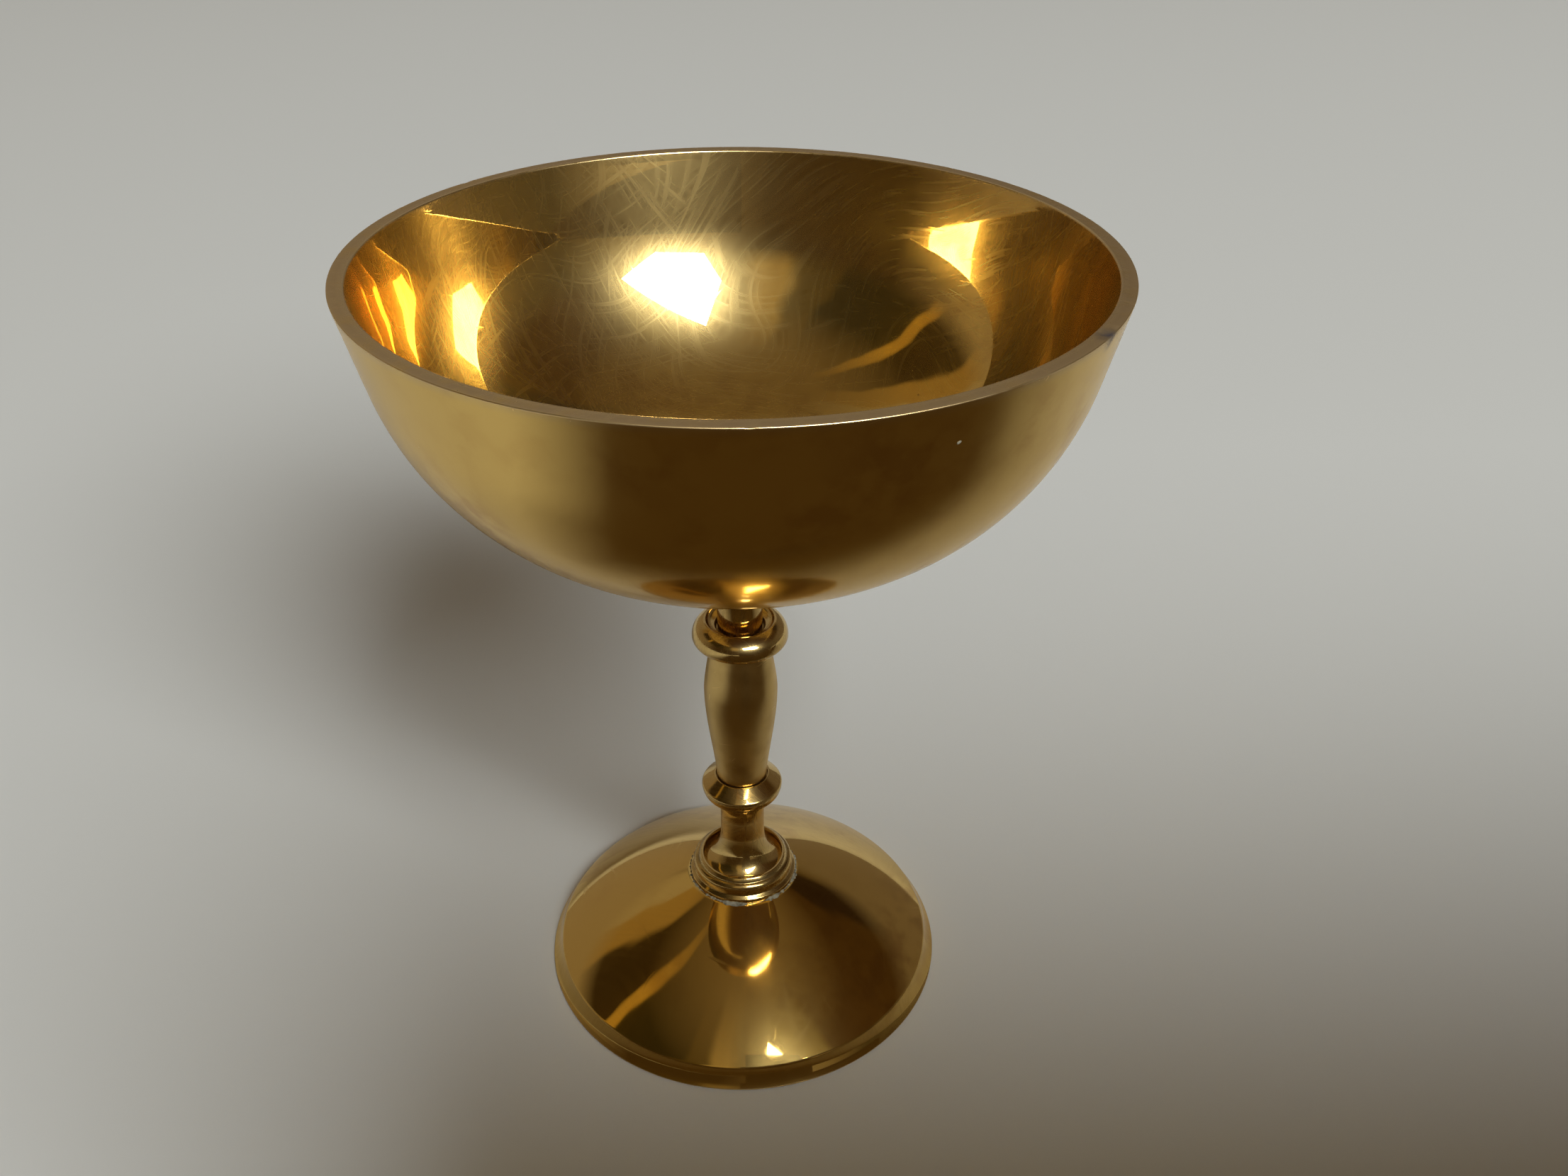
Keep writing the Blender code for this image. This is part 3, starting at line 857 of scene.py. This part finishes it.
def lines(tree, place, rotation, length, width, low, high):
    """Thin lines in the surface, about this long and this far apart in millimetres.

    They are drawn where the surface crosses thin sheets, and fade out where it lies along them.
    """
    turn = tuple(math.radians(angle) for angle in rotation)
    inputs = {"Vector": place, "Rotation": turn}
    turned_place = add(tree, "VectorRotate", inputs, rotation_type="EULER_XYZ").outputs[0]
    inputs = {0: turned_place, 1: (1 / length, 1 / length, 1 / width)}
    stretched = add(tree, "VectorMath", inputs, operation="MULTIPLY").outputs[0]
    inputs = {"Vector": add(tree, "TexCoord").outputs["Normal"], "Rotation": turn}
    facing = add(tree, "VectorRotate", inputs, rotation_type="EULER_XYZ").outputs[0]
    flat = join(tree, "ABSOLUTE", add(tree, "SeparateXYZ", {0: facing}).outputs[2])
    crossing = fade(tree, flat, 0.9, 0.7)
    return times(tree, fade(tree, clouds(tree, stretched, 1.0, 2.0), low, high), crossing)


# Sets of lines: (rotation in degrees, length, spacing), and where they start to show and are full.
STREAKS = (((20, 35, 10), 18.0, 0.6), ((75, -25, 80), 16.0, 0.5), ((-60, 40, 140), 20.0, 0.7))
STREAK_LEVELS = (0.35, 0.7)
SCRATCHES = (((35, 10, 50), 14.0, 0.7), ((-65, 45, 20), 17.0, 0.8), ((80, 60, -65), 12.0, 0.6))
SCRATCH_LEVELS = (0.70, 0.75)


def rubbed(tree, place, line_sets, levels):
    """The strongest of several sets of lines at each place, from 0 to 1."""
    result = 0.0
    for rotation, length, width in line_sets:
        result = join(tree, "MAXIMUM", lines(tree, place, rotation, length, width, *levels), result)
    return result


def pits(tree, place, spacing, size):
    """Small scattered dots, about this far apart and of this radius in millimetres."""
    cells = add(tree, "TexVoronoi", {"Vector": place, "Scale": 1 / spacing})
    chance = add(tree, "SeparateColor", {0: cells.outputs["Color"]}).outputs[0]
    reach = times(tree, join(tree, "SUBTRACT", chance, 0.55), 2 * size / spacing)
    return fade(tree, join(tree, "SUBTRACT", reach, cells.outputs["Distance"]), 0.0, 0.012)


def metal_relief(tree, shader, terms):
    """Bump of the sum of (value, height in micrometres) terms."""
    inputs = {"Height": total(tree, *terms), "Distance": MICROMETRE, "Strength": 1.0}
    bump = add(tree, "Bump", inputs).outputs[0]
    tree.links.new(bump, shader.inputs["Normal"])
    return bump


def brass_marks(tree, place):
    """The marks on the brass, each with its strength from 0 to 1 at each place."""
    broad = clouds(tree, place, 0.045, 2.0)
    patchy = clouds(tree, place, 0.21, 3.0)
    bent = wandering(tree, place, 40.0)
    hazy = mask(tree, "hazy")
    polished = fade(tree, hazy, 1.0, 0.0)
    streaks = rubbed(tree, bent, STREAKS, STREAK_LEVELS)

    def in_patches(strength, low, high):
        return times(tree, strength, fade(tree, patchy, low, high))

    return {
        "broad": broad,
        "patchy": patchy,
        "rings": clouds(tree, profile_place(tree, place), 1.9, 5.0),
        "stained": in_patches(fade(tree, broad, 0.42, 0.72), 0.42, 0.62),
        "hazy": hazy,
        "polished": polished,
        "streaks": times(tree, streaks, polished),
        "scratches": rubbed(tree, bent, SCRATCHES, SCRATCH_LEVELS),
        "dots": pits(tree, place, 5.0, 0.3),
        "wear": mask(tree, "wear"),
        "grime": in_patches(mask(tree, "grime"), 0.3, 0.62),
        "worn": in_patches(mask(tree, "worn"), 0.1, 0.5),
        "bruise": in_patches(mask(tree, "bruise"), 0.35, 0.55),
        "raw": mask(tree, "raw"),
    }


def brass_colour(tree, marks, clean, dulled):
    colour = mix(tree, marks["stained"], clean, dulled)
    for mark, (cover, tint) in MARK_COLOURS.items():
        colour = mix(tree, times(tree, marks[mark], cover), colour, tint)
    return colour


def brass_roughness(tree, marks, polish):
    terms = [(marks[mark], roughness) for mark, roughness in MARK_ROUGHNESS.items()]
    return fade(tree, total(tree, *terms, (1.0, polish - MEAN_ROUGHENING)), 0.0, 1.0)


def brass_relief(tree, place, marks, ripple):
    """(value, height in micrometres) terms of the surface's unevenness."""
    turning = clouds(tree, profile_place(tree, place), 3.6, 3.0)
    return [
        (clouds(tree, place, 0.075, 1.0), ripple),
        (marks["rings"], 0.5),
        (times(tree, turning, marks["raw"]), 24.0),
        (marks["scratches"], -0.7),
        (marks["dots"], -9.0),
        (times(tree, marks["worn"], marks["patchy"]), 40.0),
        (times(tree, marks["grime"], marks["patchy"]), 20.0),
    ]


def make_brass(name, clean, dulled, hairlines, polish, haze, ripple, film=0.0):
    """Polished brass that has been handled, rubbed and polished by hand for years.

    hairlines is the colour of the light that its hairlines scatter, and haze how much of its
    shine they take. polish is its roughness where it is smoothest, and ripple the depth in
    micrometres of its slow unevenness. film is how much lacquer and grease lie on it.
    """
    material, tree, shader = start_material(name)
    place = position(tree)
    marks = brass_marks(tree, place)
    colour = brass_colour(tree, marks, clean, dulled)
    tree.links.new(colour, shader.inputs["Base Color"])
    tree.links.new(brass_roughness(tree, marks, polish), shader.inputs["Roughness"])
    shader.inputs["Metallic"].default_value = 1.0
    shader.inputs["Coat Weight"].default_value = film
    shader.inputs["Coat Roughness"].default_value = FILM_ROUGHNESS
    bump = metal_relief(tree, shader, brass_relief(tree, place, marks, ripple))

    soft = mix(tree, marks["polished"], colour, hairlines)
    inputs = {"Color": soft, "Roughness": HAZE_ROUGHNESS, "Normal": bump}
    scatter = add(tree, "BsdfAnisotropic", inputs).outputs[0]
    terms = ((marks["streaks"], 0.8 * haze), (marks["hazy"], SATIN_SHARE), (1.0, 0.6 * haze))
    both = add(tree, "MixShader", {0: total(tree, *terms), 1: shader.outputs[0], 2: scatter})
    tree.links.new(both.outputs[0], tree.nodes["Material Output"].inputs["Surface"])
    return material


def make_steel(name):
    """Plated steel, gone a little grey, with rust in its corners."""
    material, tree, shader = start_material(name)
    place = position(tree)
    patchy = clouds(tree, place, 0.5, 5.0, 0.5)
    fine = clouds(tree, place, 6.0, 3.0)
    rust = times(tree, mask(tree, "grime"), fade(tree, patchy, 0.42, 0.6))
    colour = mix(tree, fade(tree, patchy, 0.3, 0.7), STEEL, STEEL_DULLED)
    colour = mix(tree, rust, colour, RUST)
    tree.links.new(colour, shader.inputs["Base Color"])
    rough = total(tree, (patchy, 0.2), (fine, 0.14), (rust, 0.3), (1.0, 0.16))
    tree.links.new(rough, shader.inputs["Roughness"])
    shader.inputs["Metallic"].default_value = 1.0
    metal_relief(tree, shader, [(fine, 8.0), (patchy, 30.0)])
    return material


def make_chalk(name):
    """Dried metal polish: a dull, crumbly grey-white."""
    material, tree, shader = start_material(name)
    place = position(tree)
    patchy = clouds(tree, place, 1.3, 5.0, 0.4)
    fine = clouds(tree, place, 9.0, 3.0)
    colour = mix(tree, fade(tree, patchy, 0.35, 0.65), CHALK, CHALK_DIRTY)
    tree.links.new(colour, shader.inputs["Base Color"])
    tree.links.new(total(tree, (fine, 0.2), (1.0, 0.75)), shader.inputs["Roughness"])
    metal_relief(tree, shader, [(fine, 40.0), (patchy, 60.0)])
    return material


# ---- the vessel


def put(piece, node=None):
    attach(piece, "root")
    if node:
        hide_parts(node)


def build_vessel():
    gilt = make_brass("gilt_brass", GILT, GILT_DULLED, GILT_HAIRLINES, 0.0, 0.19, 12.0)
    bright = make_brass("foot_brass", GILT, GILT_DULLED, GILT, 0.04, 0.12, 6.0)
    brass = make_brass("stem_brass", BRASS, BRASS_DULLED, BRASS, 0.04, 0.2, 8.0, 0.06)
    steel = make_steel("plated_steel")
    chalk = make_chalk("dried_polish")
    put(make_bowl(gilt), "bowl")
    put(make_foot(bright), "foot")
    put(make_boss(brass), "bowl_boss")
    put(make_upper_knop(brass), "upper_knop")
    put(make_baluster(brass), "baluster")
    put(make_lower_knop(brass), "lower_knop")
    put(make_lower_neck(brass), "lower_neck")
    put(make_collar(brass), "base_collar")
    put(make_residue(chalk))
    put(make_fleck(chalk))
    put(make_rod(steel), "tie_rod")
    washer_top = FOOT_TOP - FOOT_WALL - FIT
    lock_top = washer_top - WASHER_THICK - FIT
    nut_top = lock_top - LOCK_THICK - FIT
    put(make_washer(steel, washer_top), "foot_washer")
    put(make_lock_washer(steel, lock_top), "lock_washer")
    put(make_nut(steel, nut_top), "rod_nut")


# ---- floor, light and camera

WINDOW_DISTANCE = 12.0  # metres
WINDOW_TURN = 4.0  # how far to the right its light on the floor comes from, in degrees
WINDOW_GLOW = (13.6, 14.3, 14.2)
WINDOW_GLARE = 2.0  # how many times brighter it is in reflections than on the floor
# Corners of the window as (azimuth to the right of the front, height above the horizon), degrees.
WINDOW_CORNERS = ((6, 38), (18, 59), (46, 30), (30, 22), (12, 25))
# What stands round the vessel: (azimuth to the right of the front, its glow there).
SURROUNDINGS = (
    (-180, (0.32, 0.30, 0.29)),
    (-147, (0.36, 0.34, 0.32)),
    (-143, (0.05, 0.04, 0.02)),
    (-139, (0.32, 0.27, 0.19)),
    (-127, (0.32, 0.27, 0.19)),
    (-125, (0.27, 0.18, 0.06)),
    (-113, (0.27, 0.18, 0.06)),
    (-110, (0.03, 0.018, 0.005)),
    (-90, (0.03, 0.018, 0.005)),
    (-88, (0.42, 0.26, 0.05)),
    (-82, (0.42, 0.26, 0.05)),
    (-80, (0.028, 0.02, 0.005)),
    (-42, (0.028, 0.02, 0.005)),
    (-38, (0.07, 0.048, 0.012)),
    (-26, (0.07, 0.048, 0.012)),
    (-20, (0.35, 0.27, 0.13)),
    (-10, (0.35, 0.27, 0.13)),
    (0, (0.15, 0.12, 0.06)),
    (50, (0.15, 0.12, 0.06)),
    (56, (0.06, 0.03, 0.008)),
    (118, (0.05, 0.026, 0.006)),
    (121, (0.02, 0.010, 0.004)),
    (131, (0.02, 0.010, 0.004)),
    (136, (0.10, 0.07, 0.03)),
    (147, (0.22, 0.20, 0.16)),
    (156, (0.32, 0.30, 0.29)),
)
CEILING = (0.14, 0.10, 0.05)
CEILING_EDGE = (48, 72)  # the walls give way to it between these heights, in degrees
LOW_EDGE = (22, 30)  # and what stands low down to the walls between these
ROOM_ON_FLOOR = (0.56, 0.475, 0.31)  # how much of the room's glow reaches the floor, by colour
# What stands low down round the vessel, given in the same way.
LOW_SURROUNDINGS = (
    (-180, (0.21, 0.18, 0.15)),
    (-150, (0.27, 0.22, 0.16)),
    (-95, (0.26, 0.21, 0.14)),
    (-62, (0.05, 0.03, 0.01)),
    (-14, (0.05, 0.03, 0.01)),
    (6, (0.10, 0.07, 0.035)),
    (15, (0.18, 0.14, 0.10)),
    (34, (0.22, 0.18, 0.12)),
    (50, (0.13, 0.10, 0.06)),
    (66, (0.06, 0.045, 0.02)),
    (88, (0.10, 0.08, 0.05)),
    (110, (0.15, 0.12, 0.09)),
    (160, (0.16, 0.13, 0.10)),
    (179, (0.21, 0.18, 0.15)),
)
ROOM_SEEN = (0.55, 0.54, 0.52, 1)  # what the camera sees above the floor
# A glowing dark sheet seen only in reflections: painted shade for the shaded floor in front of the
# vessel.
# Corners of the dark sheet before the vessel, each with how widely its edge fades out there.
SHADE_SHEET = (
    (-280, -640, 90),
    (-112, -175, 90),
    (-98, -136, 90),
    (-76, -77, 80),
    (-58, -44, 60),
    (0, -58, 40),
    (60, -58, 40),
    (1600, -58, 40),
    (1600, -1600, 40),
    (-600, -1600, 40),
)
# The glow of that sheet: the colour of the painted shade in reflections.
SHADE_SHEET_COLOUR = (0.06, 0.035, 0.010)
# The card that shades the floor in front: its left, right, distance from the axis, low and high
# edges. The gap under it keeps the edge of its shadow soft.
CARD = (-10, 600, 215, 60, 212)
# A low one, seen only in reflections, that trims the window's shine on the foot.
LOW_CARD = (0, 36, 72, 0, 60)
CARD_COLOUR = (0.05, 0.03, 0.01)
FLOOR_COLOUR = (0.80, 0.80, 0.79, 1)
FLOOR_RADIUS = 9.0  # metres
FLOOR_SIDES = 128

CAMERA_PLACE = (0.0, -0.22107, 0.22942)
CAMERA_YAW, CAMERA_PITCH, CAMERA_ROLL = 2.127, 32.342, 0.417  # degrees: right, down, leaning right
CAMERA_LENS = 32.55


def stage_mesh(name, points, faces, material):
    piece = add_mesh(name, points, faces, material)
    return piece


def lay_floor():
    material, _, shader = start_material("pale_floor")
    shader.inputs["Base Color"].default_value = FLOOR_COLOUR
    shader.inputs["Roughness"].default_value = 0.75
    shader.inputs["Specular IOR Level"].default_value = 0.15
    turns = [math.tau * k / FLOOR_SIDES for k in range(FLOOR_SIDES)]
    rim = [(FLOOR_RADIUS * math.cos(turn), FLOOR_RADIUS * math.sin(turn), 0.0) for turn in turns]
    stage_mesh("floor", rim, [tuple(range(FLOOR_SIDES))], material)


def toward(azimuth, height):
    """The direction this far right of the front and this far above the horizon, in degrees."""
    a, h = math.radians(azimuth), math.radians(height)
    return Vector((math.sin(a) * math.cos(h), -math.cos(a) * math.cos(h), math.sin(h)))


def glowing(name, colour):
    material = bpy.data.materials.new(name)
    material.use_nodes = True
    tree = material.node_tree
    tree.nodes.clear()
    glow = add(tree, "Emission", {"Color": (*colour, 1), "Strength": 1.0})
    output = add(tree, "OutputMaterial", {"Surface": glow.outputs[0]})
    return material, tree, glow, output


def hang_window():
    """The window twice over: once to light the floor, and once, brighter, to shine in the metal."""
    corners = [toward(*corner) * WINDOW_DISTANCE for corner in WINDOW_CORNERS]
    beside = [toward(a + WINDOW_TURN, h) * WINDOW_DISTANCE for a, h in WINDOW_CORNERS]
    shape = [tuple(range(len(corners)))]
    lit = stage_mesh("window_lit", beside, shape, glowing("window_light", WINDOW_GLOW)[0])
    lit.visible_camera = False
    lit.visible_glossy = False
    lit.visible_shadow = False
    glare = tuple(WINDOW_GLARE * part for part in WINDOW_GLOW)
    shining = stage_mesh("window_shine", corners, shape, glowing("window_shine", glare)[0])
    shining.visible_camera = False
    shining.visible_diffuse = False
    shining.visible_shadow = False


def lay_shade_sheet():
    """A dark sheet of painted shade before the vessel, soft-edged, seen only in the vessel's
    reflections.
    """
    material, tree, glow, output = glowing("painted_shade_sheet", SHADE_SHEET_COLOUR)
    clear = add(tree, "BsdfTransparent")
    share = add(tree, "MixShader", {0: mask(tree, "cover"), 1: clear.outputs[0], 2: glow.outputs[0]})
    tree.links.new(share.outputs[0], output.inputs["Surface"])
    points = [Vector(corner[:2]) for corner in SHADE_SHEET]
    count = len(points)
    outer = []
    for i, point in enumerate(points):
        before = (point - points[i - 1]).normalized()
        after = (points[(i + 1) % count] - point).normalized()
        outward = Vector((-before.y - after.y, before.x + after.x)).normalized()
        outer.append(point + SHADE_SHEET[i][2] * outward)
    verts = [(p.x * MM, p.y * MM, MM) for p in points + outer]
    faces = [tuple(range(count))]
    faces += [(i, (i + 1) % count, count + (i + 1) % count, count + i) for i in range(count)]
    shade_sheet = stage_mesh("shade_sheet", verts, faces, material)
    store(shade_sheet.data, "cover", [1.0] * count + [0.0] * count)
    shade_sheet.visible_camera = False
    shade_sheet.visible_diffuse = False
    shade_sheet.visible_shadow = False
    shade_sheet.visible_transmission = False


def stand_card(name, bounds):
    """A dark upright card before the vessel, given as in CARD."""
    left, right, distance, low, high = bounds
    material = glowing(name, CARD_COLOUR)[0]
    corners = [(left, low), (right, low), (right, high), (left, high)]
    points = [(x * MM, -distance * MM, z * MM) for x, z in corners]
    card = stage_mesh(name, points, [(0, 1, 2, 3)], material)
    card.visible_camera = False
    return card


def stand_cards():
    stand_card("card", CARD)
    low = stand_card("low_card", LOW_CARD)
    low.visible_diffuse = False
    low.visible_shadow = False


def rise(height):
    """The upward part of a direction this far above the horizon, in degrees."""
    return math.sin(math.radians(height))


def around(tree, place, stops):
    """The glow at each place round the vessel, from 0 to 1, for stops given as in SURROUNDINGS."""
    ramp = add(tree, "ValToRGB", {0: place})
    elements = ramp.color_ramp.elements
    while len(elements) < len(stops):
        elements.new(0.5)
    for element, (degrees, glow) in zip(elements, stops):
        element.position = (degrees + 180) / 360
        element.color = (*glow, 1)
    return ramp.outputs[0]


def light_room():
    """The room's own glow: two bands round the horizon and a dim ceiling.

    The camera sees a plain pale wall instead, and the floor gets only part of the glow.
    """
    world = bpy.data.worlds.new("room")
    world.use_nodes = True
    scene.world = world
    tree = world.node_tree
    ray = add(tree, "TexCoord").outputs["Generated"]
    parts = add(tree, "SeparateXYZ", {0: ray}).outputs
    front = times(tree, parts[1], -1.0)
    azimuth = join(tree, "ARCTAN2", parts[0], front)
    waver = join(tree, "SUBTRACT", clouds(tree, ray, 2.6, 2.0), 0.5)
    place = join(tree, "MULTIPLY_ADD", azimuth, 1 / math.tau, 0.5)
    place = join(tree, "MULTIPLY_ADD", waver, 0.05, place)
    overhead = fade(tree, parts[2], *map(rise, CEILING_EDGE))
    aloft = fade(tree, parts[2], *map(rise, LOW_EDGE))
    seen = mix(tree, overhead, around(tree, place, SURROUNDINGS), (*CEILING, 1))
    seen = mix(tree, aloft, around(tree, place, LOW_SURROUNDINGS), seen)
    path = add(tree, "LightPath").outputs
    seen = mix(tree, path["Is Camera Ray"], seen, ROOM_SEEN)
    inputs = {0: path["Is Diffuse Ray"], 6: seen, 7: (*ROOM_ON_FLOOR, 1)}
    seen = add(tree, "Mix", inputs, data_type="RGBA", blend_type="MULTIPLY").outputs[2]
    tree.links.new(seen, tree.nodes["Background"].inputs["Color"])


def place_camera():
    yaw, pitch, roll = (math.radians(angle) for angle in (CAMERA_YAW, CAMERA_PITCH, CAMERA_ROLL))
    ahead = Vector((math.sin(yaw) * math.cos(pitch), math.cos(yaw) * math.cos(pitch), -math.sin(pitch)))
    right = Vector((math.cos(yaw), -math.sin(yaw), 0.0))
    up = right.cross(ahead)
    across = right * math.cos(roll) + up * math.sin(roll)
    upright = up * math.cos(roll) - right * math.sin(roll)
    turn = Matrix((across, upright, -ahead)).transposed()
    data = bpy.data.cameras.new("camera")
    data.lens = CAMERA_LENS
    data.sensor_width = 36.0
    data.clip_start = 0.01
    data.clip_end = 100.0
    camera = bpy.data.objects.new("camera", data)
    camera.matrix_world = Matrix.Translation(CAMERA_PLACE) @ turn.to_4x4()
    scene.collection.objects.link(camera)
    scene.camera = camera


build_vessel()
lay_floor()
hang_window()
lay_shade_sheet()
stand_cards()
light_room()
place_camera()
scene.view_settings.view_transform = "Standard"
